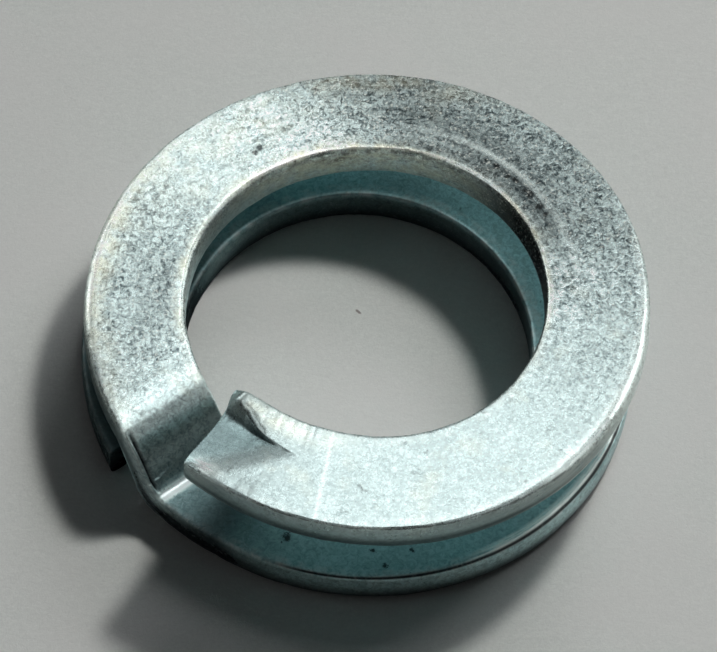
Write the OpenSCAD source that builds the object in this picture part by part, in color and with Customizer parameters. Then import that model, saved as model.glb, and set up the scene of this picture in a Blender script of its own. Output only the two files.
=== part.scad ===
// Double-coil spring lock washer.
// One flat strip of spring steel is wound edgewise into two turns. The upper turn is a shallow
// left-hand helix that sinks from the cut tip to a short straight joggle; the joggle drops to the
// lower turn, which lies flat and ends in a square-cut tail just behind the joggle.
// Millimetres. The bore axis is Z and the underside of the lower turn is Z = 0.

/* [Strip] */
// Diameter of the hole through both turns
bore_d = 16.6; // [16.2:0.1:17.4]
// Width of the strip, measured across the ring
strip_w = 4.8; // [4:0.1:5.6]
// Thickness of the strip at the outer wall
strip_t = 1.88; // [1.6:0.02:2.1]
// Extra thickness at the inner wall, pushed up when the strip was bent on edge
keystone = 0.11; // [0:0.01:0.2]
// Radius of the four long edges of the strip
edge_r = 0.45; // [0.25:0.05:0.6]

/* [Upper turn] */
// Height of the strip's middle at the cut tip
tip_z = 6.46; // [5.8:0.02:7.2]
// How far the upper turn sinks in one full revolution
pitch = 2.98; // [2.2:0.02:3.2]
// Direction of the cut tip, counter-clockwise from +X
tip_at = 233; // [231:0.5:236]
// Skew of the tip's cut from the radial direction
tip_skew = 3.3; // [0:0.1:6]

/* [Joggle and tail] */
// Direction of the joggle's middle, counter-clockwise from +X
joggle_at = 220; // [218:0.5:221]
// Length of the sloping top of the joggle along the strip, fillets included
joggle_l = 2.7; // [2.5:0.05:3]
// How far the underside of the joggle leads its top, which keeps the strip's thickness
joggle_lead = 0.98; // [0.8:0.02:1.1]
// Distance of the tail's end behind the joggle's middle
tail_back = 2.05; // [1.9:0.05:3]

/* [Pressed tip] */
// Slope of the pressed facet on top of the tip
press_slope = 18; // [8:1:20]
// Distance of the step beside the facet from the bore axis, at the cut
press_r = 9.84; // [9.4:0.02:10.4]
// How far the facet runs back from the cut, in degrees round the ring
press_run = 19; // [12:1:22]

/* [Hidden] */
$fn = 120;
ri = bore_d / 2;
ro = ri + strip_w;
rm = (ri + ro) / 2;
t_in = strip_t + keystone;
N = 2;                       // facets in each rounded edge
OV = 0.12;                   // the strip is drawn this much wider, then trimmed by true cylinders
up_end = joggle_at;          // the helix is measured up to the joggle's middle
start_at = tip_at - 6;       // the strip starts before the cut
low_at = joggle_at + 10.5;   // the flat turn starts here, clear of the joggle's lower fillet
SEAT = 0.015;                // the sloping strip runs on this far inside the flat turn, so the two fuse cleanly

// Half thickness of the strip at radius r.
function half_t(r) = (t_in + (strip_t - t_in) * (r - ri) / strip_w) / 2;

// The edges of the section: [radius, offset from the middle, side], counter-clockwise from the outer wall.
function corner(cr, ch, a0, flip) = [for (i = [0 : N]) [cr + edge_r * cos(a0 + 90 * i / N), ch + edge_r * sin(a0 + 90 * i / N)]];
ho = strip_t / 2;
hi = t_in / 2;
section = concat(
    corner(ro - edge_r, ho - edge_r, 0),
    corner(ri + edge_r, hi - edge_r, 90),
    corner(ri + edge_r, -hi + edge_r, 180),
    corner(ro - edge_r, -ho + edge_r, 270));
// The same section with its walls pushed out past the trimming cylinders, along each edge's last facet.
function past(a, b, r) = [r, b[1] + (b[1] - a[1]) * (r - b[0]) / (b[0] - a[0])];
M = N + 1;
// The same section again, shrunk to sit just inside the flat turn.
slim = [for (p = section) [p[0] + (p[0] > rm ? -SEAT : SEAT), p[1] + (p[1] > 0 ? -SEAT : SEAT)]];
wide = [for (i = [0 : 4 * M - 1])
    i == 0 ? past(section[1], section[0], ro + OV) :
    i == 2 * M - 1 ? past(section[2 * M - 2], section[2 * M - 1], ri - OV) :
    i == 2 * M ? past(section[2 * M + 1], section[2 * M], ri - OV) :
    i == 4 * M - 1 ? past(section[4 * M - 2], section[4 * M - 1], ro + OV) :
    section[i]];

// A ramp from 0 to 1 with a parabolic fillet of share e at each end.
function ramp(x, e) = x <= 0 ? 0 : x >= 1 ? 1 :
    x < e ? x * x / (2 * e * (1 - e)) :
    x > 1 - e ? 1 - (1 - x) * (1 - x) / (2 * e * (1 - e)) :
    (x - e / 2) / (1 - e);

// Middle of the helix at angle a, and of the flat turn.
function helix_z(a) = tip_z - pitch * (a - tip_at + 360) / 360;
low_z = hi;
// v is the distance along the middle of the strip from the joggle's middle.
joggle_0 = -0.52 * joggle_l;
function drop(v, lead) = ramp((v + lead - joggle_0) / joggle_l, 0.3);
function mid_z(v, a, lead) = let (k = drop(v, lead)) helix_z(a) * (1 - k) + low_z * k;
// Near the joggle the sections turn parallel to its middle; elsewhere they are radial.
function parallel(d) =
    d > 7.2 ? max(0, (10 - d) / 2.8) :
    d > -13.5 ? 1 :
    d < -30 ? 0 : let (x = (30 + d) / 16.5) x * x * (3 - 2 * x);

// One section of the sloping strip at angle a.
function station(a, sec) = let (
        phi = a - joggle_at,
        k = parallel(phi),
        v = rm * phi * PI / 180)
    [for (p = sec) let (
        s = ((1 - k) * p[0] + k * rm) * sin(phi),
        w = sqrt(p[0] * p[0] - s * s),
        xy = abs(phi) > 60 ? p[0] * [cos(a), sin(a)] :
            s * [-sin(joggle_at), cos(joggle_at)] + w * [cos(joggle_at), sin(joggle_at)],
        lead = p[1] > 0 ? 0 : joggle_lead)
        [xy[0], xy[1], mid_z(v, a, lead) + p[1] + flat_shift(p, drop(v, lead))]];
// On the flat turn the underside is level, so the outer half comes down and the keystone shows on top only.
function flat_shift(p, k) = p[0] > rm ? k * (ho - hi) : 0;
function span(a0, a1, n) = [for (i = [1 : n]) a0 + (a1 - a0) * i / n];

module slope_strip() {
    fine_at = joggle_at - 16;
    st = concat(
        [for (a = concat([start_at - 360], span(start_at - 360, fine_at, 57), span(fine_at, low_at - 0.7, 30))) station(a, wide)],
        [for (a = [low_at, low_at + 2]) station(a, slim)]);
    n = len(wide);
    m = len(st);
    polyhedron(points = [for (s = st) each s], faces = concat(
        [[for (j = [n - 1 : -1 : 0]) j]],
        [[for (j = [0 : n - 1]) (m - 1) * n + j]],
        [for (i = [0 : m - 2]) for (j = [0 : n - 1]) let (q = (j + 1) % n)
            each [[i * n + j, (i + 1) * n + q, (i + 1) * n + j], [i * n + j, i * n + q, (i + 1) * n + q]]]));
}

// The true bore and outer wall.
module walls() {
    difference() {
        translate([0, 0, -1]) cylinder(r = ro, h = 12);
        translate([0, 0, -2]) cylinder(r = ri, h = 14);
    }
}

// Everything before the tip's cut is removed, above the joggle only.
module tip_cut() {
    rotate([0, 0, tip_at]) translate([rm, 0, 4.6]) rotate([0, 0, tip_skew]) translate([-6, -4, 0]) cube([12, 4, 6]);
}

// The pressed facet: a tilted plane bounded by an upright step.
p_step = press_r * [cos(tip_at - 1.6), sin(tip_at - 1.6)];
p_far = (rm - 0.52) * [cos(tip_at + press_run), sin(tip_at + press_run)];
p_out = (ro - 0.33) * [cos(tip_at + 5.3), sin(tip_at + 5.3)];
module press_cut() {
    hinge = p_far - p_out;
    hinge_dir = atan2(hinge[1], hinge[0]);
    z_out = helix_z(tip_at - 360 + 5.3) + ho;
    z_far = helix_z(tip_at - 360 + press_run) + ho + 0.02;
    step = p_step - p_far;
    intersection() {
        translate([0, 0, 4.4]) linear_extrude(height = 5)
            polygon([p_far, p_far + step * 2.2, p_far + step * 2.2 + [-6, -4], p_out - hinge * 1.2 + [-1, -2], p_out - hinge * 0.6 - [0, 1.5]]);
        translate([p_out[0], p_out[1], z_out]) rotate([0, 0, hinge_dir]) rotate([0, atan2(z_out - z_far, norm(hinge)), 0])
            rotate([-press_slope, 0, 0]) translate([-8, -8, 0]) cube([18, 18, 5]);
    }
}

// The lower turn, cut off square to the strip just behind the joggle.
module flat_turn() {
    difference() {
        rotate([0, 0, low_at]) rotate_extrude(angle = 355 - low_at + joggle_at)
            translate([0, low_z]) polygon([for (p = section) [p[0], p[1] + flat_shift(p, 1)]]);
        rotate([0, 0, joggle_at]) translate([ri - 1, -tail_back, -1]) cube([strip_w + 2, tail_back + 0.5, 5]);
    }
}

module washer() {
    color([0.76, 0.80, 0.82])
        union() {
            flat_turn();
            difference() {
                intersection() {
                    walls();
                    slope_strip();
                }
                tip_cut();
                press_cut();
            }
        }
}

washer();
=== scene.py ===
"""Double-coil spring lock washer: the zinc-plated steel strip, its floor, lights and camera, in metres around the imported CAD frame."""
import bpy
import math
import numpy as np
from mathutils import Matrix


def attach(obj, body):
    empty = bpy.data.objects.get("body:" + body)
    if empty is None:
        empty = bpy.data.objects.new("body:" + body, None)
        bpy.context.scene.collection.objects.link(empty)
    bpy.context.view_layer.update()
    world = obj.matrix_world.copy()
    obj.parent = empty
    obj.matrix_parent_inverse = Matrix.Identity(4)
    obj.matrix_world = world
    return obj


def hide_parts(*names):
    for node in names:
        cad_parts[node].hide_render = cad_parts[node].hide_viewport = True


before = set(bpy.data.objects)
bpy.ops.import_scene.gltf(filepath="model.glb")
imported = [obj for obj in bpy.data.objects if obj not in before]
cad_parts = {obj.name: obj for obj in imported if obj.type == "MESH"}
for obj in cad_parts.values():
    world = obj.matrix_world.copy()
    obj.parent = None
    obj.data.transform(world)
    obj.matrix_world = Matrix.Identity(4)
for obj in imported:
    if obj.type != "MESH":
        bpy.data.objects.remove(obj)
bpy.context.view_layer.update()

# ------------------------------------------------------------------ sizes, millimetres and degrees
RI, RO, RM = 8.3, 13.1, 10.7          # bore, outer wall, middle of the strip
HO, HI = 0.94, 0.995                  # half thickness at the outer and the inner wall
EDGE = 0.45                           # rounding of the four long edges
TIP, JOG = -127.0, 220.0              # the strip's cut tip and the joggle's middle
TAIL_BACK = 2.05                      # the tail ends this far behind the joggle's middle
TAIL = 360 + JOG - math.degrees(TAIL_BACK / RM)
JOG_L, JOG_LEAD = 2.7, 0.98
UNIT = RO                             # the shape's own measure, the outer radius
Z_FOCUS = 4.973                       # height that the camera is set out from


# ------------------------------------------------------------------ noise, seeded
def _perm(seed):
    r = np.random.RandomState(seed)
    p = r.permutation(256)
    return np.concatenate([p, p])


_G = np.array([[1, 1, 0], [-1, 1, 0], [1, -1, 0], [-1, -1, 0], [1, 0, 1], [-1, 0, 1],
               [1, 0, -1], [-1, 0, -1], [0, 1, 1], [0, -1, 1], [0, 1, -1], [0, -1, -1]], float)


def noise(p, seed=1):
    """Gradient noise of points (n, 3), about -1 to 1."""
    pm = _perm(seed)
    i = np.floor(p).astype(int)
    f = p - i
    i &= 255
    w = f * f * f * (f * (f * 6 - 15) + 10)
    out = 0.0
    for dx in (0, 1):
        for dy in (0, 1):
            for dz in (0, 1):
                h = pm[pm[pm[(i[..., 0] + dx) & 255] + ((i[..., 1] + dy) & 255)] + ((i[..., 2] + dz) & 255)] % 12
                g = _G[h]
                d = g[..., 0] * (f[..., 0] - dx) + g[..., 1] * (f[..., 1] - dy) + g[..., 2] * (f[..., 2] - dz)
                out = out + d * (w[..., 0] if dx else 1 - w[..., 0]) * (w[..., 1] if dy else 1 - w[..., 1]) * (w[..., 2] if dz else 1 - w[..., 2])
    return out


def fbm(p, seed=1, octaves=3, gain=0.5):
    a, out = 1.0, 0.0
    for k in range(octaves):
        out = out + a * noise(p * (2.03 ** k), seed + 17 * k)
        a *= gain
    return out


def smooth(x):
    x = np.clip(x, 0, 1)
    return x * x * (3 - 2 * x)


# ------------------------------------------------------------------ how the strip runs
E_CREST, E_FOOT = (0.54, 0.74), 0.42       # how roundly the joggle bends over, at the bore and the outer wall, and at its foot


def ramp(x, e0=0.34, e1=0.42):
    """0 to 1 with a parabolic fillet of share e0 at the start and e1 at the end."""
    x = np.asarray(x, float)
    m = 1 / (1 - (e0 + e1) / 2)
    lo = m * x * x / (2 * e0)
    hi = 1 - m * (1 - x) ** 2 / (2 * e1)
    mid = m * (x - e0 / 2)
    return np.where(x <= 0, 0.0, np.where(x >= 1, 1.0, np.where(x < e0, lo, np.where(x > 1 - e1, hi, mid))))


def upper_mid(a):
    """Height of the strip's middle on the upper turn."""
    x = (a + 125) / 360 - 0.5
    t = np.radians(a)
    return UNIT * (0.37964 - 0.22776 * x + 0.0008 * (x * x - 1 / 12) - 0.00193 * np.cos(t) + 0.00029 * np.sin(t))


def out_of_round(a):
    """How far each turn strays from a true circle: the coil was wound by machine and is a little out of round."""
    t = np.radians(a)
    x = (a + 125) / 360 - 0.5
    up = -0.0045 * x - 0.00043 * np.cos(2 * t) - 0.00642 * np.sin(2 * t) - 0.00437 * np.cos(3 * t) + 0.00385 * np.sin(3 * t) + 0.00032 * np.cos(4 * t) - 0.00111 * np.sin(4 * t)
    x = (a - 235) / 360 - 0.5
    low = -0.00317 + 0.05069 * x - 0.01781 * np.cos(t) - 0.01529 * np.sin(t) - 0.00279 * np.cos(2 * t) - 0.00629 * np.sin(2 * t) - 0.00185 * np.cos(3 * t) - 0.00332 * np.sin(3 * t)
    k = smooth((a - 212) / 16)
    return UNIT * (up * (1 - k) + low * k)


WALL_A = [-127, -120, -100, -60, -20, 20, 60, 90, 120, 150, 175, 190, 203, 214, 226, 240, 262]
BORE_OUT = [0.30, 0.16, 0.10, 0.08, 0.02, -0.03, -0.02, 0.04, 0.10, 0.16, 0.20, 0.30, 0.38, 0.42, 0.28, 0.10, 0.0]
RIM_OUT = [0.03, 0.04, 0.04, 0.05, 0.04, -0.02, -0.12, -0.13, -0.07, 0.02, 0.12, 0.22, 0.28, 0.30, 0.18, 0.0, 0.0]


def drawn(a, r):
    """How far the bore and the outer wall were drawn outwards when the coil was wound, most of all before the joggle."""
    i, o = np.interp(a, WALL_A, BORE_OUT), np.interp(a, WALL_A, RIM_OUT)
    return i + (o - i) * (r - RI) / (RO - RI)


def trace(a):
    """Direction in plan of the section through the strip's middle at angle a."""
    skew = np.where(a < TIP + 34, 3.3 * (1 - smooth((a - TIP) / 34)), 0.0)
    d = a - JOG
    near = np.where(d > 7.2, 1 - smooth((d - 7.2) / 11), np.where(d > -13.5, 1.0, smooth((30 + d) / 16.5)))
    beta = a + skew - d * near * (np.abs(d) < 40)
    e = a - 360 - JOG
    far = smooth((e + 42) / 30)
    return beta - e * far * (e > -42)


def sweep_angles():
    """Section angles, closer together where the strip bends or ends."""
    def step(a):
        if a < TIP + 24:
            return 0.36
        if 204 < a < 234:
            return 0.26
        if a > TAIL - 12:
            return 0.4
        return 0.72
    out, a = [TIP], TIP
    while a < TAIL - 0.2:
        a += step(a)
        out.append(min(a, TAIL))
    if out[-1] < TAIL:
        out[-1] = TAIL
    return np.array(out)


# ------------------------------------------------------------------ the section: columns round it
def columns():
    """Each column of the section: share across the top or bottom face, wall or edge that it belongs to."""
    c = []
    n_top, n_wall, n_arc, n_bot = 28, 6, 6, 12
    for i in range(n_top):
        c.append(("top", i / n_top))
    for i in range(n_arc):
        c.append(("ot", i / n_arc))
    for i in range(n_wall):
        c.append(("out", i / n_wall))
    for i in range(n_arc - 1):
        c.append(("ob", i / (n_arc - 1)))
    for i in range(n_bot):
        c.append(("bot", i / n_bot))
    for i in range(n_arc - 1):
        c.append(("ib", i / (n_arc - 1)))
    for i in range(n_wall):
        c.append(("in", i / n_wall))
    for i in range(n_arc):
        c.append(("it", i / n_arc))
    return c


COLS = columns()
NC = len(COLS)
# the step beside the pressed facet: its crest on the lip and its foot in the facet, as radius against angle
CREST_A = [-132, -130.5, -127, -124, -121.8, -119, -116, -113, -110, -108.3, -100]
CREST_R = [8.72, 8.77, 8.92, 9.06, 9.31, 9.61, 9.85, 9.95, 10.04, 10.10, 10.35]
FOOT_A = [-130, -127, -124, -120.3, -116.5, -112.2, -109.5, -105]
FOOT_R = [9.78, 9.79, 9.84, 9.93, 10.02, 10.14, 10.19, 10.25]


def top_share(a, e_it=EDGE, e_ot=EDGE):
    """Where the columns lie across the top face at angle a: evenly, but drawn together at the tip's step and the joggle's crease."""
    n = 28
    even = np.arange(n) / n
    lo, hi = RI + e_it, RO - e_ot
    if a < -88:
        dev = float(out_of_round(np.array([a]))[0])
        rs = float(np.interp(a, FOOT_A, FOOT_R)) + 0.05 - dev
        rc = float(np.interp(a, CREST_A, CREST_R)) - 0.04 - dev
        rs, rc = rs - drawn(a, rs), rc - drawn(a, rc)
        rc = min(rc, rs - 0.14)
        u0, u1 = max((rc - lo) / (hi - lo), 0.02), (rs - lo) / (hi - lo)
        k_in, k_wall = 4, 11
        k_out = n - k_in - k_wall
        tight = np.concatenate([np.arange(k_in) / k_in * u0,
                                u0 + np.arange(k_wall) / (k_wall - 1) * (u1 - u0),
                                u1 + (np.arange(k_out) + 1) / (k_out + 1) * (1 - u1)])
        k = 1 - smooth((a + 106) / 16)
        return even * (1 - k) + tight * k
    g = float(smooth((a - 208) / 4) * (1 - smooth((a - 230) / 5)))
    if g > 0:
        ug = (RO - 0.75 - lo) / (hi - lo)
        tight = np.concatenate([np.arange(n - 10) / (n - 10) * ug, ug + np.arange(10) / 10 * (1 - ug)])
        return even * (1 - g) + tight * g
    return even


def lobe(a, at, width):
    d = (a - at + 180) % 360 - 180
    return math.exp(-(d / width) ** 2)


def edge_radii(a):
    """Rounding of the top outer, bottom outer, bottom inner and top inner edge at angle a."""
    ot = 0.13 + 0.12 * lobe(a, -127, 5) + 0.30 * lobe(a, 176, 44) + 0.44 * lobe(a, -20, 30) + 0.06 * lobe(a, 80, 60)
    it = 0.18 + 0.12 * lobe(a, 140, 60)
    ot_low = 0.22 + 0.14 * lobe(a, 320, 30)
    k = float(smooth((a - 205) / 12))
    m = float(smooth((a - 228) / 16))
    ot = ot * (1 - k) + (0.17 * (1 - m) + ot_low * m) * k
    it = it * (1 - k) + 0.24 * k
    return ot, 0.48 * (1 - k) + 0.34 * k, 0.34, it


def section(a):
    """(r, h) of each column at angle a, from the axis and from the strip's middle."""
    r, h = np.zeros(NC), np.zeros(NC)
    e_ot, e_ob, e_ib, e_it = edge_radii(a)
    share = top_share(a, e_it, e_ot)
    for j, (kind, s) in enumerate(COLS):
        if kind == "top":
            r[j] = RI + e_it + share[j] * (RO - RI - e_it - e_ot)
            h[j] = HI + (HO - HI) * (r[j] - RI) / (RO - RI)
        elif kind == "ot":
            q = math.radians(90 * (1 - s))
            r[j], h[j] = RO - e_ot + e_ot * math.cos(q), HO - e_ot + e_ot * math.sin(q)
        elif kind == "out":
            r[j], h[j] = RO, (HO - e_ot) * (1 - s) - (HO - e_ob) * s
            r[j] += 0.05 * math.sin(math.pi * s)            # the outer wall bulges a little
        elif kind == "ob":
            q = math.radians(-90 * s)
            r[j], h[j] = RO - e_ob + e_ob * math.cos(q), -HO + e_ob + e_ob * math.sin(q)
        elif kind == "bot":
            r[j] = RO - e_ob - s * (RO - RI - e_ob - e_ib)
            h[j] = -(HO + (HI - HO) * (RO - r[j]) / (RO - RI))
        elif kind == "ib":
            q = math.radians(-90 - 90 * s)
            r[j], h[j] = RI + e_ib + e_ib * math.cos(q), -HI + e_ib + e_ib * math.sin(q)
        elif kind == "in":
            r[j], h[j] = RI, (HI - e_it) * s - (HI - e_ib) * (1 - s)
        else:
            q = math.radians(180 - 90 * s)
            r[j], h[j] = RI + e_it + e_it * math.cos(q), HI - e_it + e_it * math.sin(q)
    # the fold left along the joggle's outer edge
    g = float(smooth((a - 213) / 3) * (1 - smooth((a - 223.0) / 3)))
    fold_and_shade = np.where(np.isin(KIND, ("top", "ot")), g * np.exp(-((RO - 0.27 - r) / 0.075) ** 2), 0.0)
    h = h - 0.22 * fold_and_shade
    # and the thin crack that runs along the lower turn's outer edge at the front
    g = float(smooth((a - 250) / 10) * (1 - smooth((a - 342) / 18)))
    crack = np.where((KIND == "ot") & (np.abs(SHARE - 0.4) < 0.12), g, 0.0)
    # the third value is the mask of painted shade: near black in the fold's groove and in the crack
    return r, h - 0.03 * crack, np.maximum(fold_and_shade, 0.95 * crack)


KIND = np.array([c[0] for c in COLS])
SHARE = np.array([c[1] for c in COLS])
ZONE_A = [-127, -90, -66, -43, -20, 4, 20, 42, 66, 81, 96, 112, 128, 143, 158, 176, 192, 206, 214]
PAINTED_LIGHT_BY_ANGLE = [1.0, 1.12, 1.30, 1.20, 1.05, 1.18, 0.85, 0.73, 0.65, 0.53, 0.84, 1.36, 1.44, 1.34, 1.04, 0.85, 0.90, 1.14, 1.20]     # painted highlight and shade by angle
PITS = [(253.6, 11.62, 0.25), (273.6, 11.62, 0.13), (276.0, 12.42, 0.16), (282.5, 11.74, 0.12),
        (29.5, 9.48, 0.14), (32.5, 9.44, 0.19), (37.5, 9.47, 0.22), (40.0, 9.40, 0.14), (44.5, 9.44, 0.19), (47.0, 9.38, 0.14), (52.0, 9.46, 0.20), (55.5, 9.42, 0.13), (124.0, 9.9, 0.22), (126.0, 9.75, 0.14)]     # angle, radius, size



def soft_min(a, b, k):
    h = np.clip(0.5 + 0.5 * (b - a) / k, 0, 1)
    return b * (1 - h) + a * h - k * h * (1 - h)


def build_strip():
    A = sweep_angles()
    NS = len(A)
    P = np.zeros((NS, NC, 3))
    fold_and_shade, r_sec = np.zeros((NS, NC)), np.zeros((NS, NC))
    beta = np.radians(trace(A))
    dev = out_of_round(A)
    for i, a in enumerate(A):
        r, h, fold_and_shade[i] = section(a)
        r_sec[i] = r
        rr = r + dev[i] + drawn(a, r)
        rm = RM + dev[i]
        pm = rm * np.array([math.cos(math.radians(a)), math.sin(math.radians(a))])
        d = np.array([math.cos(beta[i]), math.sin(beta[i])])
        m = pm @ d
        t = -m + np.sqrt(m * m - rm * rm + rr * rr)
        xy = pm[None, :] + t[:, None] * d[None, :]
        v = RM * math.radians(a - JOG)
        lead = np.where(h > 0, 0.0, JOG_LEAD) if abs(v) < 6 else np.zeros(NC)
        # across the walls the lead runs over from the top's to the underside's
        lead = JOG_LEAD * np.clip(0.5 - h / (2 * HO), 0, 1) if abs(v) < 6 else lead
        k = ramp((v + lead + 0.52 * JOG_L) / JOG_L, E_CREST[0] + (E_CREST[1] - E_CREST[0]) * np.clip((r - RI) / (RO - RI), 0, 1), E_FOOT) if abs(v) < 6 else np.full(NC, 1.0 if a > JOG else 0.0)
        if abs(v) < 6:                                   # the strip starts to lean before the bend proper
            upper = upper_mid(min(a, 232.0)) - 0.031 * np.clip(v + 0.5 * lead + 3.0, 0, 2.1) ** 2
        else:
            upper = upper_mid(min(a, 232.0))
        level = (HO - HI) * np.clip((r - RI) / (RO - RI), 0, 1)
        z = upper * (1 - k) + HI * k + h + level * k
        P[i, :, :2] = xy
        P[i, :, 2] = z
    # the cut runs on a little further at the lip than at the outer wall
    a = np.radians(np.repeat(A[:, None], NC, 1))
    ext = np.interp(r_sec, [8.1, 8.7, 9.3, 9.7, 10.6, 12.5, 13.1], [0.62, 0.60, 0.42, 0.36, 0.30, 0.20, 0.12])
    ext = ext * (1 - smooth((a - math.radians(TIP)) * RM / 3.2))
    P[..., 0] += ext * np.sin(a)
    P[..., 1] -= ext * np.cos(a)
    return A, P, fold_and_shade, r_sec


def grid_normals(P):
    du = np.gradient(P, axis=0)
    dv = np.roll(P, -1, axis=1) - np.roll(P, 1, axis=1)
    n = np.cross(du, dv)
    n /= np.linalg.norm(n, axis=2, keepdims=True) + 1e-12
    return n


A, P, fold_and_shade, r_sec = build_strip()
NS = len(A)
N0 = grid_normals(P)
# the walk round the section runs top, outer wall, underside, inner wall: check that normals point out
if np.mean(N0[:, 5, 2]) < 0:
    N0 = -N0

# --- lengths along the strip, for everything that follows its run
S = np.radians(A) * RM
s_grid = np.repeat(S[:, None], NC, 1)
a_grid = np.repeat(A[:, None], NC, 1)

# --- the pressed facet at the tip: a tilted plane, hinged obliquely, bounded inside by an upright step
def press(P):
    x, y, z = P[..., 0] / UNIT, P[..., 1] / UNIT, P[..., 2]
    near = a_grid < -88
    flat = np.stack([P[..., 0], P[..., 1], z * 0], -1)
    wob = 0.006 * noise(flat * 0.8, 5) + 0.001 * noise(flat * 2.4, 6)
    dist = -0.308 * (x + 0.238) + 0.951 * (y + 0.741) - 0.017
    r = np.hypot(P[..., 0], P[..., 1])
    ang = np.degrees(np.arctan2(P[..., 1], P[..., 0]))
    ang = np.where(ang > 180, ang - 360, ang)
    rs = np.interp(ang, FOOT_A, FOOT_R) + 0.03 * noise(flat * 1.3 + 7, 8)
    crest = np.interp(ang, CREST_A, CREST_R) + 0.012 * noise(flat * 1.3 + 3, 9)
    top = upper_mid(a_grid) + HO + 0.015
    plane = top - math.tan(math.radians(18.8)) * (dist + wob * smooth(1 - dist / 0.1)) * UNIT
    plane += 0.06 * np.clip(dist / 0.2, 0, 1) * np.clip((rs + 0.4 - r) / 0.4, 0, 1) ** 2      # a fillet at the step's foot
    rim = r.max(axis=1, keepdims=True)
    plane -= 0.12 * np.clip((r - rim + 0.55) / 0.55, 0, 1) ** 2                                # worn over at the outer wall
    pressed = soft_min(z, plane, 0.17)
    # the lip beside the facet: its crest runs inwards towards the cut, and its end is rounded over
    u = (r - crest) / np.maximum(rs - crest, 0.06)
    inside = ramp(u, 0.40, 0.22)
    high = near & (z > top - HO)
    z2 = np.where(high, z * (1 - inside) + np.minimum(z, pressed) * inside, z)
    back = (ang + 131.3) * math.pi / 180 * 8.8                     # distance from the lip's end, mm
    over = 0.42 * np.clip(1 - back / 0.70, 0, 1) ** 2
    lip = near & (r < rs) & (z > top - 0.8)
    z2 = np.where(lip, z2 - over * smooth((z - top + 0.8) / 0.6) * (1 - inside), z2)
    Q = P.copy()
    Q[..., 2] = z2
    return Q


P0 = P
P = press(P)
P1 = P
N1 = grid_normals(P)
if np.mean(N1[:, 5, 2]) < 0:
    N1 = -N1

# --- relief: slow waves of the rolled strip, a fine rolled and plated skin, and nicks along the long edges
p3 = P.copy()
relief = 0.010 * fbm(p3 * 0.35, 11, 2) + 0.0045 * fbm(p3 * 1.3, 21, 3)
arc = {"ot": 0.5, "it": 0.5, "ob": 0.5, "ib": 0.5}
edge_w = np.zeros(NC)
edge_id = np.zeros(NC)
for j in range(NC):
    if KIND[j] in arc:
        edge_w[j] = math.exp(-((SHARE[j] - 0.45) / 0.33) ** 2)
        edge_id[j] = {"ot": 3, "it": 11, "ob": 19, "ib": 27}[KIND[j]]
    elif KIND[j] == "top" and (SHARE[j] < 0.08 or SHARE[j] > 0.93):
        edge_w[j] = 0.35
        edge_id[j] = 11 if SHARE[j] < 0.5 else 3
    elif KIND[j] in ("out", "in"):
        edge_w[j] = 0.12
        edge_id[j] = 3
e_w = np.repeat(edge_w[None, :], NS, 0)
e_i = np.repeat(edge_id[None, :], NS, 0)
q1 = np.stack([s_grid * 0.55, e_i, e_i * 0 + 0.3], -1)
q2 = np.stack([s_grid * 1.9, e_i + 0.4, np.repeat(np.arange(NC)[None, :] * 0.13, NS, 0)], -1)
q3 = np.stack([s_grid * 4.4, e_i + 0.7, np.repeat(np.arange(NC)[None, :] * 0.35, NS, 0)], -1)
nick = 0.030 * noise(q1, 31) + 0.050 * np.maximum(0, noise(q2, 32) - 0.12) + 0.045 * np.maximum(0, noise(q3, 33) - 0.18)
nick -= 0.018 * np.maximum(0, noise(q3 * 0.8, 34) - 0.2)
relief -= nick * e_w
P = P + N1 * relief[..., None]
P[..., 2] = np.maximum(P[..., 2], 0.0 + 0.02 * 0)

# --- ends: the section closes over a small rounded rim onto a cut face
def close_end(P, i_end, inward):
    """Rings that turn the end of the sweep in: each is (share pulled to the section's medial line, distance back)."""
    base = P[i_end]
    mid = base.mean(0)
    rings = []
    for pull, out in ((0.05, 0.035), (0.14, 0.055), (0.45, 0.06), (0.8, 0.06)):
        rings.append((pull, out))
    r = np.hypot(base[:, 0], base[:, 1])
    # medial line: from 0.95 mm inside one wall to 0.95 mm inside the other
    dirn = base[KIND == "out"].mean(0) - base[KIND == "in"].mean(0)
    L = np.linalg.norm(dirn)
    dirn /= L
    c0 = base[KIND == "in"].mean(0) + dirn * 0.9
    c1 = base[KIND == "out"].mean(0) - dirn * 0.9
    t = np.clip(((base - c0) @ dirn) / np.linalg.norm(c1 - c0), 0, 1)
    medial = c0 + (c1 - c0) * t[:, None]
    out = []
    for pull, d in rings:
        out.append(base + (medial - base) * pull + inward * d)
    return out


def end_dir(P, i0, i1):
    d = P[i0].mean(0) - P[i1].mean(0)
    d[2] = 0
    return d / np.linalg.norm(d)


tip_rings = close_end(P, 0, end_dir(P, 0, 3))
tail_rings = close_end(P, NS - 1, end_dir(P, NS - 1, NS - 4))

rows = list(reversed(tip_rings)) + [P[i] for i in range(NS)] + tail_rings
G = np.array(rows)
NR = len(rows)
verts = G.reshape(-1, 3) * 0.001
faces = []
for i in range(NR - 1):
    o, n = i * NC, (i + 1) * NC
    for j in range(NC):
        q = (j + 1) % NC
        faces.append((o + j, o + q, n + q, n + j))
faces.append(tuple(range(NC)))
faces.append(tuple(reversed(range((NR - 1) * NC, NR * NC))))

me = bpy.data.meshes.new("washer_strip")
me.from_pydata([tuple(v) for v in verts], [], faces)
me.update()
strip = bpy.data.objects.new("washer_strip", me)
bpy.context.scene.collection.objects.link(strip)
import bmesh
bm = bmesh.new()
bm.from_mesh(me)
bmesh.ops.recalc_face_normals(bm, faces=bm.faces)
vol = bm.calc_volume(signed=True)
if vol < 0:
    bmesh.ops.reverse_faces(bm, faces=bm.faces)
bm.to_mesh(me)
bm.free()
me.shade_smooth()
print("strip: stations", NS, "columns", NC, "quads", len(faces), "volume mm3", round(abs(vol) * 1e9, 1))
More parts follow.
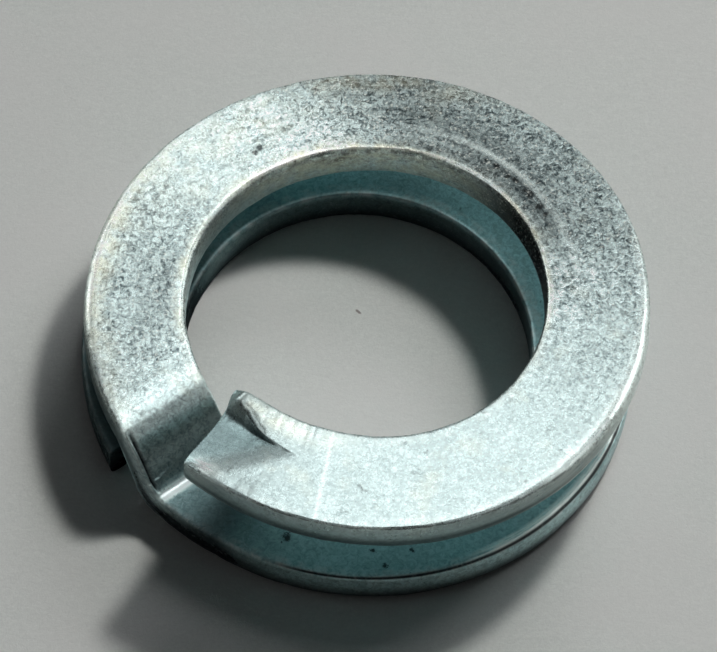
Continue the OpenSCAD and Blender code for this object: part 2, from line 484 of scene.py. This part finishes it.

# each point's share of the gap's teal, partly the blue passivation and partly painted shade and painted coloured
# interreflection between the turns, of rubbed edge, and how far down the joggle it is
down = smooth((A - 214) / 12)
RU = {"top": (0, 0), "ot": (0, 0.05), "out": (0.08, 0.55), "ob": (0.6, 0.9), "bot": (1, 1), "ib": (0.9, 0.7), "in": (0.6, 0.05), "it": (0.02, 0)}
RL = {"top": (1, 1), "ot": (0.8, 0.45), "out": (0.4, 0.35), "ob": (0.35, 0.5), "bot": (0.6, 0.6), "ib": (0.6, 0.6), "in": (0.55, 0.6), "it": (0.7, 0.9)}
ru = np.array([RU[k][0] * (1 - t) + RU[k][1] * t for k, t in zip(KIND, SHARE)])
rl = np.array([RL[k][0] * (1 - t) + RL[k][1] * t for k, t in zip(KIND, SHARE)])
shade = smooth((A - 218) / 22)
gap_tint_and_shade = ru[None, :] * (1 - down[:, None]) + rl[None, :] * (down * (0.25 + 0.75 * shade))[:, None]
FACE = {"top": (1, 1), "ot": (0.8, 0.2), "out": (0.0, 0.0), "ob": (0.2, 0.8), "bot": (1, 1), "ib": (0.8, 0.2), "in": (0, 0), "it": (0.2, 0.8)}
fc = np.array([FACE[k][0] * (1 - t) + FACE[k][1] * t for k, t in zip(KIND, SHARE)])
face = np.repeat(fc[None, :], NS, 0)
ends = len(tip_rings), len(tail_rings)


def to_rows(g):
    return np.concatenate([np.repeat(g[:1], ends[0], 0), g, np.repeat(g[-1:], ends[1], 0)])


def point_value(name, g):
    at = me.attributes.new(name, "FLOAT", "POINT")
    at.data.foreach_set("value", to_rows(g).astype(np.float32).ravel())


point_value("gap_tint_and_shade", gap_tint_and_shade)
point_value("face", face)
point_value("fold_and_shade", fold_and_shade)
# broad zones of the top face: scuffed streaks from the way it was handled; painted highlights (light); warm tints,
# partly painted highlight and reflection
az = np.repeat(((A + 180) % 360 - 180)[:, None], NC, 1)


def spot(a0, wa, r0, wr):
    return np.exp(-(((az - a0 + 180) % 360 - 180) / wa) ** 2 - ((r_sec - r0) / wr) ** 2)


upper = 1 - smooth((a_grid - 214) / 8)
scuff = spot(42, 15, 9.45, 0.42) + 0.55 * spot(62, 20, 10.5, 0.45) + 0.7 * spot(26, 12, 9.15, 0.3) + 0.9 * spot(125, 2.2, 9.9, 0.16) + 0.5 * spot(98, 12, 12.2, 0.6)
# painted highlights: pale bands on the top face, its rims and the bore's edge
light = 0.9 * spot(50, 32, 9.86, 0.17) + 0.35 * spot(75, 16, 9.3, 0.16) + 1.6 * spot(-24, 32, 13.0, 0.36) + 0.8 * spot(120, 20, 8.55, 0.22) + 1.4 * spot(170, 28, 12.9, 0.42) + 0.5 * spot(180, 26, 8.6, 0.22)
# warm tints: partly the plating's own warm tone, partly painted highlight along the bore's edge and the rims, and
# painted reflection of the lit floor on the bore's wall at the back
warm_tint_and_sheen = 1.1 * spot(50, 66, 8.42, 0.18) + 0.9 * spot(88, 20, 12.6, 0.7) + 0.9 * spot(112, 30, 8.6, 0.45) + 0.8 * spot(172, 32, 12.5, 0.7) + 0.7 * spot(178, 30, 8.6, 0.3) + 0.45 * spot(130, 26, 11.0, 1.3) + 0.6 * spot(-112, 14, 8.9, 0.5)
wall = np.isin(KIND, ("in",))[None, :] * 1.0
warm_tint_and_sheen = np.clip(warm_tint_and_sheen, 0, 1) * np.clip(face + 0.2, 0, 1) + 0.8 * wall * spot(95, 60, RI, 9.0)
# brown stains: on the bore's wall near the back, and a thin line under the long top edges
col_share = np.repeat(SHARE[None, :], NS, 0)
is_in, is_it, is_ot = (np.repeat(np.isin(KIND, (k,))[None, :], NS, 0) for k in ("in", "it", "ot"))
stain = is_in * np.exp(-((a_grid - 104) / 5.5) ** 2) * smooth((col_share - 0.35) / 0.3)
stain = stain + 0.75 * is_it * (col_share < 0.45) * (0.35 + 0.65 * np.exp(-((a_grid - 95) / 45) ** 2))
stain = stain + 0.8 * is_ot * (col_share > 0.55) * (0.3 + 0.7 * np.exp(-((a_grid + 85) / 50) ** 2)) * smooth((a_grid + 121) / 5)
# a fine brown line across the top face
stain = stain + 0.4 * face * np.exp(-((a_grid - 8 - (r_sec - 8.9) * 2.9) / 0.8) ** 2) * smooth((r_sec - 8.8) / 0.4)
point_value("stain", np.clip(stain, 0, 1) * upper)
# painted shade: the lower turn's walls are painted darker towards the face that it rests on, standing in for the
# contact shade and the shadowed floor that they reflect
low = np.clip(1.0 - (P1[..., 2] - 0.35) / 0.95, 0, 1) ** 1.2 * smooth((a_grid - 214) / 12)
point_value("low", low)
# painted shade: darker where the lower turn starts at the joggle's foot, and dark where it ends under the upper turn
painted_shade = (0.93 * np.exp(-((a_grid - 238) / 10.5) ** 2) * smooth((a_grid - 226.6) / 3.0) + 0.93 * smooth((a_grid - 500) / 34)) * (a_grid > 226)
# painted shade on the bore's walls where they face away from the window of light
inner = (np.isin(KIND, ("in",)) + 0.6 * np.isin(KIND, ("ib",)) + (np.isin(KIND, ("it",)) & (SHARE < 0.6)) * 0.9)[None, :] * np.ones((NS, 1))
painted_shade = painted_shade + inner * (0.42 * np.exp(-((a_grid - 150) / 24) ** 2) + 0.97 * np.exp(-((a_grid - 16) / 42) ** 4) * (a_grid < 200) + 0.85 * np.exp(-((a_grid - 360 - 60) / 95) ** 4))
# painted shade on the outer walls, their lower roundings and the top outer roundings, where the light falls off
outer = np.isin(KIND, ("out",))[None, :] * np.ones((NS, 1))
painted_shade = painted_shade + outer * (0.5 * np.exp(-((a_grid + 122) / 9) ** 2) + 0.80 * np.exp(-((a_grid - 196) / 22) ** 2) + 0.35 * np.exp(-((a_grid + 40) / 12) ** 2) + 0.40 * np.exp(-((a_grid + 62) / 16) ** 2) + 0.9 * np.exp(-((a_grid - 228) / 15) ** 2) * smooth((SHARE - 0.12) / 0.4)[None, :])
painted_shade = painted_shade + (0.7 * np.isin(KIND, ("ob",)) + 0.55 * np.isin(KIND, ("out",)) * smooth((SHARE - 0.5) / 0.4))[None, :] * np.exp(-((a_grid + 85) / 44) ** 4)
painted_shade = painted_shade + (np.isin(KIND, ("ot",)) & (SHARE > 0.5))[None, :] * (0.7 * np.exp(-((a_grid - 198) / 20) ** 2) + 0.35 * np.exp(-((a_grid + 50) / 14) ** 2))
# painted shade: the joggle's slope is painted darker than the flat face
painted_shade = painted_shade + 0.40 * face * smooth((a_grid - 216) / 4) * (1 - smooth((a_grid - 225) / 2))
point_value("painted_shade", np.clip(painted_shade, 0, 1))
# dark pits in the lower turn's upper face
pit = sum(np.exp(-((a_grid - a0) * math.pi / 180 * r0 / w) ** 2 - ((r_sec - r0) / w) ** 2) for a0, r0, w in PITS)
point_value("pit", np.clip(pit, 0, 1) * face)
# how coarse the plating's grain is along the turn
grain_at = np.interp(a_grid, [-127, -48, -30, -15, 0, 15, 30, 100, 112, 124, 137, 148, 160, 172, 200, 207], [0.0, 0.0, 0.22, 0.42, 0.65, 0.95, 1.0, 1.0, 0.62, 0.5, 0.25, 0.42, 0.62, 0.66, 0.62, 0.25])
point_value("grain", grain_at)
# more painted highlights: at the facet's hinge, its worn outer corner, the lip's top and along the bore's edge
light = light + 0.5 * np.exp(-((a_grid + 98.5) / 0.5) ** 2) * face + 1.4 * spot(-123.5, 3.6, 12.65, 0.42) + 1.2 * spot(62, 80, 8.44, 0.14) + 0.5 * spot(-112, 16, 8.9, 0.5)
# painted highlight: white beads of light along the lower turn's outer edge at the right
painted_rim_highlight = 1.3 * smooth((a_grid - 290) / 14) * (1 - smooth((a_grid - 350) / 10)) * np.clip((r_sec - 12.5) / 0.2, 0, 1) * (np.isin(KIND, ("top",)) | (np.isin(KIND, ("ot",)) & (SHARE < 0.6)))[None, :]
# painted highlight and shade along the turns: brighter at the front and at the left, darker at the back, as the
# reflections fall; on the lower turn, painted shade where its tail runs under the upper turn
skewed = a_grid - 3.5 * (r_sec - 10.7) * np.exp(-((a_grid - 100) / 24) ** 2)
painted_light_zone = np.interp(skewed, ZONE_A, PAINTED_LIGHT_BY_ANGLE)
painted_light_zone = painted_light_zone * (1 + (r_sec - 10.7) / 1.4 * (0.15 * np.exp(-((a_grid - 180) / 28) ** 2) + 0.18 * np.exp(-((a_grid - 54) / 18) ** 2) - 0.14 * np.exp(-((a_grid + 4) / 22) ** 2)))
painted_light_zone = painted_light_zone + np.clip(1.3 - painted_light_zone, 0, 1) * np.clip(light, 0, 1) * upper
painted_light_zone = np.where(a_grid > 214, np.interp(a_grid, [214, 222, 240, 330, 380, 410, 455, 488, 560], [1.0, 1.12, 0.84, 0.72, 1.0, 1.06, 1.06, 0.50, 0.40]), painted_light_zone)
painted_light_zone = painted_light_zone + np.clip(1.2 - painted_light_zone, 0, 1) * np.clip(painted_rim_highlight, 0, 1)
painted_light_zone = painted_light_zone * face + 1 - face
point_value("painted_light_zone", painted_light_zone / 1.15)
point_value("scuff", np.clip(scuff, 0, 1) * face * upper)
# painted highlight: a bright band along the joggle's foot
painted_foot_highlight = smooth((a_grid - 224.9) / 0.7) * (1 - smooth((a_grid - 227.8) / 1.0)) * face * smooth((r_sec - 9.6) / 1.0)
# painted highlight on the outer wall at the right front
light = light + 1.4 * outer * np.exp(-((a_grid + 7) / 18) ** 4)
point_value("light", np.clip(light, 0, 1.4) * upper + painted_rim_highlight)
point_value("painted_foot_highlight", painted_foot_highlight)
point_value("soft", smooth((a_grid - 209.0) / 5) * (1 - smooth((a_grid - 224.8) / 2.5)))
point_value("warm_tint_and_sheen", np.clip(warm_tint_and_sheen, 0, 1) * upper)
point_value("rubbed", e_w)
facet = np.clip((P0[..., 2] - P1[..., 2]) / 0.25, 0, 1)
point_value("pressed", facet)
# painted shade on the steep step wall beside the pressed facet
painted_step_shade = np.clip(1 - N1[..., 2] / 0.80, 0, 1) * facet * (face > 0.5) * (a_grid < -95) * (1 - smooth((r_sec - 10.2) / 0.4))
point_value("painted_step_shade", np.clip(painted_step_shade * 1.6, 0, 1))
run = np.concatenate([np.full(ends[0], S[0]), S, np.full(ends[1], S[-1])])
peri = np.concatenate([[0], np.cumsum(np.linalg.norm(np.diff(P[NS // 2], axis=0), axis=1))])
uv = me.uv_layers.new(name="strip")
loops = np.zeros(len(me.loops), int)
me.loops.foreach_get("vertex_index", loops)
uvs = np.stack([(run[loops // NC] - S[0]) / (S[-1] - S[0]), peri[loops % NC] / peri[-1]], -1)
uv.data.foreach_set("uv", uvs.astype(np.float32).ravel())

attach(strip, "root")
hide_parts("washer")

# ------------------------------------------------------------------ materials
ROUGH_LO, ROUGH_HI, ANISO, SKIN_DEPTH = 0.24, 0.32, 0.90, 1.1e-5


class Nodes:
    """Short names for building a node tree."""

    def __init__(self, name):
        self.mat = bpy.data.materials.new(name)
        self.mat.use_nodes = True
        self.t = self.mat.node_tree
        self.bsdf = self.t.nodes["Principled BSDF"]

    def put(self, sock, v):
        if isinstance(v, bpy.types.NodeSocket):
            self.t.links.new(v, sock)
        elif isinstance(v, (tuple, list)) and len(v) == 3 and sock.type == "RGBA":
            sock.default_value = (*v, 1)
        else:
            sock.default_value = v

    def new(self, kind, **sockets):
        n = self.t.nodes.new("ShaderNode" + kind)
        for k, v in sockets.items():
            if k in n.inputs:
                self.put(n.inputs[k], v)
            else:
                setattr(n, k, v)
        return n

    def math(self, op, a, b=None, c=None, clamp=False):
        n = self.t.nodes.new("ShaderNodeMath")
        n.operation, n.use_clamp = op, clamp
        self.put(n.inputs[0], a)
        if b is not None:
            self.put(n.inputs[1], b)
        if c is not None:
            self.put(n.inputs[2], c)
        return n.outputs[0]

    def vec(self, op, a, b=None, scale=None):
        n = self.t.nodes.new("ShaderNodeVectorMath")
        n.operation = op
        self.put(n.inputs[0], a)
        if b is not None:
            self.put(n.inputs[1], b)
        if scale is not None:
            self.put(n.inputs["Scale"], scale)
        return n.outputs[0]

    def noise(self, p, scale, detail=2.0, rough=0.5, dist=0.0, lac=2.0):
        n = self.t.nodes.new("ShaderNodeTexNoise")
        self.put(n.inputs["Vector"], p)
        n.inputs["Scale"].default_value = scale
        n.inputs["Detail"].default_value = detail
        n.inputs["Roughness"].default_value = rough
        n.inputs["Lacunarity"].default_value = lac
        n.inputs["Distortion"].default_value = dist
        return n.outputs["Fac"]

    def span(self, v, lo, hi, out_lo=0.0, out_hi=1.0, smooth_=False):
        n = self.t.nodes.new("ShaderNodeMapRange")
        n.clamp = True
        if smooth_:
            n.interpolation_type = "SMOOTHSTEP"
        self.put(n.inputs["Value"], v)
        for k, x in (("From Min", lo), ("From Max", hi), ("To Min", out_lo), ("To Max", out_hi)):
            n.inputs[k].default_value = x
        return n.outputs["Result"]

    def mix(self, f, a, b, mode="MIX"):
        n = self.t.nodes.new("ShaderNodeMix")
        n.data_type, n.blend_type = "RGBA", mode
        self.put(n.inputs["Factor"], f)
        self.put(n.inputs[6], a)
        self.put(n.inputs[7], b)
        return n.outputs[2]

    def attr(self, name):
        n = self.t.nodes.new("ShaderNodeAttribute")
        n.attribute_type, n.attribute_name = "GEOMETRY", name
        return n.outputs["Fac"]


def zinc():
    g = Nodes("bright_zinc")
    p = g.vec("MULTIPLY", g.new("TexCoord").outputs["Object"], (1000, 1000, 1000))   # millimetres
    sep = g.new("SeparateXYZ", Vector=p)
    x, y, z = sep.outputs
    r = g.math("SQRT", g.math("ADD", g.math("MULTIPLY", x, x), g.math("MULTIPLY", y, y)))
    th = g.math("ARCTAN2", y, x)
    gap_tint_and_shade, rubbed, pressed, face = g.attr("gap_tint_and_shade"), g.attr("rubbed"), g.attr("pressed"), g.attr("face")
    # along the strip's run: streaks left by drawing the wire and rolling it flat
    run = g.new("CombineXYZ", X=g.math("MULTIPLY", th, 5.0), Y=g.math("MULTIPLY", r, 5.0), Z=g.math("MULTIPLY", z, 5.0)).outputs[0]
    streak = g.noise(run, 1.0, 3, 0.6)
    streak2 = g.noise(g.vec("ADD", run, (11.0, 3.0, 5.0)), 2.1, 3, 0.65)
    # the plated skin: mottled dimples about a third of a millimetre across
    skin = g.noise(p, 4.1, 4.0, 0.66, 1.0)
    skin2 = g.noise(g.vec("ADD", p, (31.0, 7.0, 3.0)), 8.0, 2, 0.5, 0.3)
    grain = g.attr("grain")
    blotch = g.noise(p, 0.75, 3, 0.55, 0.3)
    # colour
    tone = g.math("ADD", g.math("MULTIPLY", skin, 0.78), g.math("ADD", g.math("MULTIPLY", blotch, 0.08), g.math("MULTIPLY", streak, 0.14)))
    tone = g.span(g.math("ADD", g.math("MULTIPLY", g.math("SUBTRACT", tone, 0.5), g.math("ADD", g.math("MULTIPLY", grain, 1.05), 0.22)), 0.5), 0.38, 0.62)
    col = g.mix(tone, (0.072, 0.108, 0.120), (0.99, 1.20, 1.18))
    # cream: warm tone of the plating, partly painted highlight and painted reflection
    warm_tint_and_sheen = g.math("MULTIPLY", g.attr("warm_tint_and_sheen"), g.span(g.noise(g.vec("ADD", p, (3.0, 50.0, 9.0)), 0.9, 3, 0.6), 0.35, 0.6))
    cream = g.math("ADD", g.math("MULTIPLY", warm_tint_and_sheen, 0.75), g.math("MULTIPLY", g.span(g.noise(g.vec("ADD", p, (3.0, 50.0, 9.0)), 0.55, 3, 0.6), 0.56, 0.7), 0.2))
    col = g.mix(cream, col, g.mix(tone, (0.48, 0.46, 0.34), (1.06, 1.10, 0.90)))
    dirt = g.math("MULTIPLY", g.span(g.noise(g.vec("ADD", p, (70.0, 1.0, 4.0)), 1.6, 4, 0.65, 0.5), 0.60, 0.70), g.span(g.noise(p, 0.3, 1), 0.42, 0.6))
    mark = g.math("MULTIPLY", g.attr("scuff"), g.span(g.math("ADD", g.math("MULTIPLY", streak2, 0.6), g.math("MULTIPLY", skin, 0.4)), 0.44, 0.56))
    dirt = g.math("MAXIMUM", dirt, mark)
    col = g.mix(g.math("MULTIPLY", dirt, 0.75), col, (0.085, 0.10, 0.10))
    # the gap's teal: partly the blue passivation, partly painted shade and painted coloured interreflection between the
    # turns
    teal = g.mix(g.span(skin, 0.33, 0.67), (0.235, 0.455, 0.470), (0.45, 0.81, 0.84))
    speck = g.math("MAXIMUM", g.span(g.noise(g.vec("ADD", p, (9.0, 9.0, 77.0)), 1.6, 2, 0.55, 0.3), 0.70, 0.80), 0.0)
    teal = g.mix(g.math("MULTIPLY", speck, 0.8), teal, (0.02, 0.03, 0.03))
    col = g.mix(gap_tint_and_shade, col, teal)
    # rubbed edges lighter, and painted highlights where light is set
    rub_and_highlight = g.math("MAXIMUM", g.math("MULTIPLY", rubbed, g.span(g.noise(p, 1.7, 3, 0.6), 0.42, 0.6, 0.0, 0.7)), g.math("MULTIPLY", g.attr("light"), g.span(streak2, 0.32, 0.52)))
    col = g.mix(rub_and_highlight, col, g.mix(warm_tint_and_sheen, (0.86, 0.97, 0.93), (0.94, 0.98, 0.76)))
    brown = g.math("MULTIPLY", g.attr("stain"), g.span(g.noise(g.vec("ADD", p, (1.0, 8.0, 30.0)), 2.2, 3, 0.6), 0.40, 0.58))
    col = g.mix(g.math("MULTIPLY", brown, 0.85), col, (0.072, 0.055, 0.046))
    # painted contact shade: the lower turn's walls go near black towards the floor
    col = g.mix(g.math("MULTIPLY", g.attr("low"), 0.9), col, (0.03, 0.042, 0.045))
    pit = g.span(g.math("ADD", g.attr("pit"), g.math("MULTIPLY", g.math("SUBTRACT", skin, 0.5), 2.3)), 0.34, 0.62)
    col = g.mix(g.math("MULTIPLY", pit, 0.88), col, (0.02, 0.024, 0.026))
    col = g.mix(g.math("MULTIPLY", pressed, 0.8), col, g.mix(1.0, col, (0.81, 0.94, 0.97), "MULTIPLY"))
    # painted shade: darkens the base colour wherever shade is painted
    col = g.mix(g.math("MULTIPLY", g.attr("painted_shade"), 0.93), col, (0.025, 0.032, 0.036))
    # painted shade: dark brown on the steep step wall beside the facet
    col = g.mix(g.math("MULTIPLY", g.attr("painted_step_shade"), 0.93), col, (0.062, 0.050, 0.052))
    # painted shade: near black in the fold's groove and the crack
    col = g.mix(g.attr("fold_and_shade"), col, (0.01, 0.012, 0.014))
    # painted highlight along the joggle's foot
    col = g.mix(g.math("MULTIPLY", g.attr("painted_foot_highlight"), g.span(skin, 0.30, 0.42)), col, (0.95, 1.15, 1.11))
    # painted highlight and shade: scales the colour by angle round the turns
    col = g.vec("SCALE", col, scale=g.attr("painted_light_zone"))
    # painted glints: near-white flecks on the plating's grain, away from the gap
    glint = g.math("MULTIPLY", g.span(skin2, 0.60, 0.68), g.math("MULTIPLY", grain, g.math("SUBTRACT", 1.0, gap_tint_and_shade)))
    col = g.mix(g.math("MULTIPLY", glint, 0.75), col, (0.92, 0.96, 0.89))
    col = g.vec("MINIMUM", col, (0.97, 0.97, 0.97))
    g.put(g.bsdf.inputs["Base Color"], col)
    rough = g.math("ADD", g.span(skin2, 0.3, 0.7, ROUGH_LO, ROUGH_HI), g.math("MULTIPLY", g.math("SUBTRACT", blotch, 0.5), 0.12))
    rough = g.math("ADD", g.math("ADD", rough, g.math("MULTIPLY", gap_tint_and_shade, 0.10)), g.math("MULTIPLY", g.attr("soft"), 0.20))
    g.put(g.bsdf.inputs["Roughness"], rough)
    g.bsdf.inputs["Metallic"].default_value = 1.0
    g.put(g.bsdf.inputs["Specular Tint"], g.mix(g.math("MAXIMUM", g.attr("painted_shade"), g.attr("painted_step_shade")), (1.0, 1.0, 1.0), (0.06, 0.06, 0.06)))      # where shade is painted, the grazing reflection is darkened too
    g.bsdf.inputs["Anisotropic"].default_value = ANISO
    g.bsdf.inputs["Anisotropic Rotation"].default_value = 0.25
    t = g.t.nodes.new("ShaderNodeTangent")
    t.direction_type, t.axis = "RADIAL", "Z"
    g.put(g.bsdf.inputs["Tangent"], t.outputs[0])
    # relief of the skin, weak on the walls, which the die drew smooth
    hgt = g.math("ADD", skin, g.math("MULTIPLY", skin2, 0.20))
    hgt = g.math("ADD", hgt, g.math("MULTIPLY", streak, 0.35))
    hgt = g.math("SUBTRACT", hgt, g.math("MULTIPLY", dirt, 0.45))
    hgt = g.math("MULTIPLY", g.math("MULTIPLY", hgt, g.math("ADD", g.math("MULTIPLY", grain, 0.75), 0.5)), g.span(face, 0.0, 1.0, 0.18, 1.0))
    b = g.new("Bump", Strength=1.0, Distance=SKIN_DEPTH, Height=hgt)
    g.put(g.bsdf.inputs["Normal"], b.outputs[0])
    return g.mat


def paper():
    g = Nodes("floor_paper")
    p = g.vec("MULTIPLY", g.new("TexCoord").outputs["Object"], (1000, 1000, 1000))
    fib = g.noise(g.vec("MULTIPLY", p, (1.0, 2.2, 1.0)), 2.2, 4, 0.6, 1.5)
    fib2 = g.noise(g.vec("MULTIPLY", g.vec("ADD", p, (40.0, 3.0, 0.0)), (2.4, 1.0, 1.0)), 3.5, 3, 0.6, 1.8)
    cloud = g.noise(p, 0.10, 3, 0.5)
    v = g.math("ADD", g.math("MULTIPLY", fib, 0.5), g.math("MULTIPLY", fib2, 0.5))
    grain = g.noise(g.vec("ADD", p, (5.0, 90.0, 2.0)), 7.0, 2, 0.6, 0.4)
    col = g.mix(g.span(v, 0.34, 0.66), (0.665, 0.69, 0.66), (0.80, 0.825, 0.79))
    col = g.mix(g.span(grain, 0.3, 0.7, 0.0, 0.35), col, (0.63, 0.65, 0.63))
    col = g.mix(g.math("MULTIPLY", g.span(cloud, 0.4, 0.62), 0.5), col, (0.745, 0.74, 0.72))
    dot = g.new("TexVoronoi", Vector=p, Scale=0.16)
    spot = g.span(dot.outputs["Distance"], 0.012, 0.020, 1.0, 0.0)
    col = g.mix(g.math("MULTIPLY", spot, 0.6), col, (0.25, 0.2, 0.2))
    # painted light: the sheet is painted a touch lighter at its middle, lifting the shade inside the washer, and
    # towards the front, evening out the key's falloff
    xyz = g.new("SeparateXYZ", Vector=p).outputs
    rad = g.math("SQRT", g.math("ADD", g.math("MULTIPLY", xyz[0], xyz[0]), g.math("MULTIPLY", xyz[1], xyz[1])))
    col = g.vec("SCALE", col, scale=g.math("MULTIPLY", g.span(rad, 5.0, 10.0, 1.13, 1.0, True), g.span(xyz[1], -24.0, 24.0, 1.055, 0.935)))
    # one stray brown crumb inside the washer
    q = g.new("SeparateXYZ", Vector=g.vec("SUBTRACT", p, (-0.47, 2.64, 0.0)))
    qx = g.math("ADD", q.outputs[0], g.math("MULTIPLY", q.outputs[1], -0.9))
    qy = g.math("ADD", q.outputs[1], g.math("MULTIPLY", q.outputs[0], 0.9))
    far = g.math("SQRT", g.math("ADD", g.math("MULTIPLY", g.math("MULTIPLY", qx, qx), 0.35), g.math("MULTIPLY", g.math("MULTIPLY", qy, qy), 2.2)))
    crumb = g.span(g.math("ADD", far, g.math("MULTIPLY", g.math("SUBTRACT", grain, 0.5), 0.12)), 0.10, 0.17, 1.0, 0.0)
    col = g.mix(g.math("MULTIPLY", crumb, 0.75), col, (0.16, 0.11, 0.10))
    g.put(g.bsdf.inputs["Base Color"], col)
    g.bsdf.inputs["Roughness"].default_value = 0.85
    g.bsdf.inputs["Specular IOR Level"].default_value = 0.2
    b = g.new("Bump", Strength=1.0, Distance=1.5e-5, Height=v)
    g.put(g.bsdf.inputs["Normal"], b.outputs[0])
    return g.mat


me.materials.append(zinc())

# ------------------------------------------------------------------ floor
fm = bpy.data.meshes.new("floor")
h = 1.5
fm.from_pydata([(-h, -h, 0), (h, -h, 0), (h, h, 0), (-h, h, 0)], [], [(0, 1, 2, 3)])
floor = bpy.data.objects.new("floor", fm)
bpy.context.scene.collection.objects.link(floor)
fm.materials.append(paper())

# ------------------------------------------------------------------ camera
from mathutils import Matrix, Vector
EL, ROLL, DIST, FOC, OX, OY = 0.99223, 0.0453, 10.6243, 2980.87, 368.334, 301.590
CX, CY, W = 358.5, 326.0, 717.0
c, s = math.cos(EL), math.sin(EL)
fwd, right, up = np.array([0, c, -s]), np.array([1.0, 0, 0]), np.array([0, s, c])
r2 = math.cos(ROLL) * right + math.sin(ROLL) * up
u2 = -math.sin(ROLL) * right + math.cos(ROLL) * up
d = np.array([(OX - CX) / FOC, -(OY - CY) / FOC, 1.0])
d /= np.linalg.norm(d)
v = np.cross([0, 0, 1], d)
K = np.array([[0, -v[2], v[1]], [v[2], 0, -v[0]], [-v[1], v[0], 0]])
Q = np.eye(3) + K + K @ K / (1 + d[2])
M = Q @ np.array([r2, u2, fwd])
pos = np.array([0, -c, s]) * DIST * UNIT * 0.001 + np.array([0, 0, Z_FOCUS * 0.001])
cam_data = bpy.data.cameras.new("camera")
cam_data.sensor_fit = "HORIZONTAL"
cam_data.sensor_width = 36.0
cam_data.lens = FOC / W * 36.0
cam_data.clip_start = 0.005
cam_data.clip_end = 10
cam = bpy.data.objects.new("camera", cam_data)
bpy.context.scene.collection.objects.link(cam)
cam.matrix_world = Matrix([[M[0][0], M[1][0], -M[2][0], pos[0]], [M[0][1], M[1][1], -M[2][1], pos[1]], [M[0][2], M[1][2], -M[2][2], pos[2]], [0, 0, 0, 1]])
bpy.context.scene.camera = cam


# ------------------------------------------------------------------ lights
def area(name, az, el, dist, size, power, color=(1, 1, 1), tilt=0.0, on="all", at=(0, 0, 0.004)):
    """A soft light at azimuth az from +X, elevation el; tilt turns its face up from the object, which evens out its falloff
    over the floor. on="floor" lights without showing up in the metal, on="metal" shows up in the metal and lights nothing else."""
    ld = bpy.data.lights.new(name, "AREA")
    ld.shape = "DISK"
    ld.size = size
    ld.energy = power
    ld.color = color
    o = bpy.data.objects.new(name, ld)
    p = Vector((math.cos(math.radians(el)) * math.cos(math.radians(az)), math.cos(math.radians(el)) * math.sin(math.radians(az)), math.sin(math.radians(el)))) * dist
    o.location = p + Vector(at)
    e = math.radians(el - tilt)
    q = Vector((math.cos(e) * math.cos(math.radians(az)), math.cos(e) * math.sin(math.radians(az)), math.sin(e)))
    if tilt:
        ld.shape, ld.size_y = "ELLIPSE", size / math.cos(math.radians(tilt))
    o.rotation_euler = (-q).to_track_quat("-Z", "Y").to_euler()
    o.visible_glossy = on != "floor"
    o.visible_diffuse = on != "metal"
    bpy.context.scene.collection.objects.link(o)
    return o


# light on the floor: a small key, its softer halo, and fills
area("key", 52.7, 52.8, 0.178, 0.020, 0.110, (1.0, 0.995, 0.975), tilt=40, on="floor")
area("key_halo", 52.7, 52.8, 0.178, 0.035, 0.092, (1.0, 0.995, 0.975), tilt=48, on="floor")
for i, (az_, el_, size_, power_) in enumerate(((40, 46, 0.13, 0.2732), (70, 30, 0.20, 0.6013), (95, 30, 0.25, 0.0728), (180, 30, 0.25, 0.0430), (230, 35, 0.30, 0.0200))):
    area("fill_%d" % i, az_, el_, 0.5, size_, power_, (0.955, 0.965, 1.0), on="floor")
# panels that the metal reflects
PANELS = ((60, 56, 0.13, 0.1058), (60, 66, 0.13, 0.0418), (80, 56, 0.13, 0.0097), (80, 66, 0.13, 0.0726), (80, 76, 0.13, 0.0381), (100, 56, 0.13, 0.0223),
          (100, 66, 0.13, 0.0127), (120, 60, 0.13, 0.0046), (40, 70, 0.13, 0.0157), (150, 60, 0.13, 0.0317), (20, 60, 0.13, 0.0071), (70, 46, 0.13, 0.0234),
          (100, 46, 0.13, 0.0116), (20, 20, 0.25, 0.3482), (45, 20, 0.25, 0.2050), (70, 20, 0.25, 0.1145), (95, 20, 0.25, 0.0467), (95, 36, 0.25, 0.0380),
          (120, 30, 0.25, 0.1654), (145, 30, 0.25, 0.1133), (0, 45, 0.25, 0.1010), (180, 55, 0.25, 0.1032), (90, 88, 0.25, 0.1650))
for i, (az_, el_, size_, power_) in enumerate(PANELS):
    area("panel_%d" % i, az_, el_, 0.5, size_, 1.15 * power_, on="metal")
# three dim panels for the metal as seen from the other sides, and two low ones that light the outer rims
for i, (az_, el_, size_, power_) in enumerate(((318, 40, 0.26, 0.08), (216, 40, 0.24, 0.08), (150, 14, 0.16, 0.11), (346, 19, 0.24, 0.125), (268, 32, 0.28, 0.05))):
    area("side_%d" % i, az_, el_, 0.5, size_, power_, on="metal")
world = bpy.data.worlds.new("world")
world.use_nodes = True
world.node_tree.nodes["Background"].inputs["Color"].default_value = (0.92, 0.95, 1.0, 1)
world.node_tree.nodes["Background"].inputs["Strength"].default_value = 0.006
bpy.context.scene.world = world
bpy.context.scene.view_settings.view_transform = "Standard"
bpy.context.scene.view_settings.look = "None"
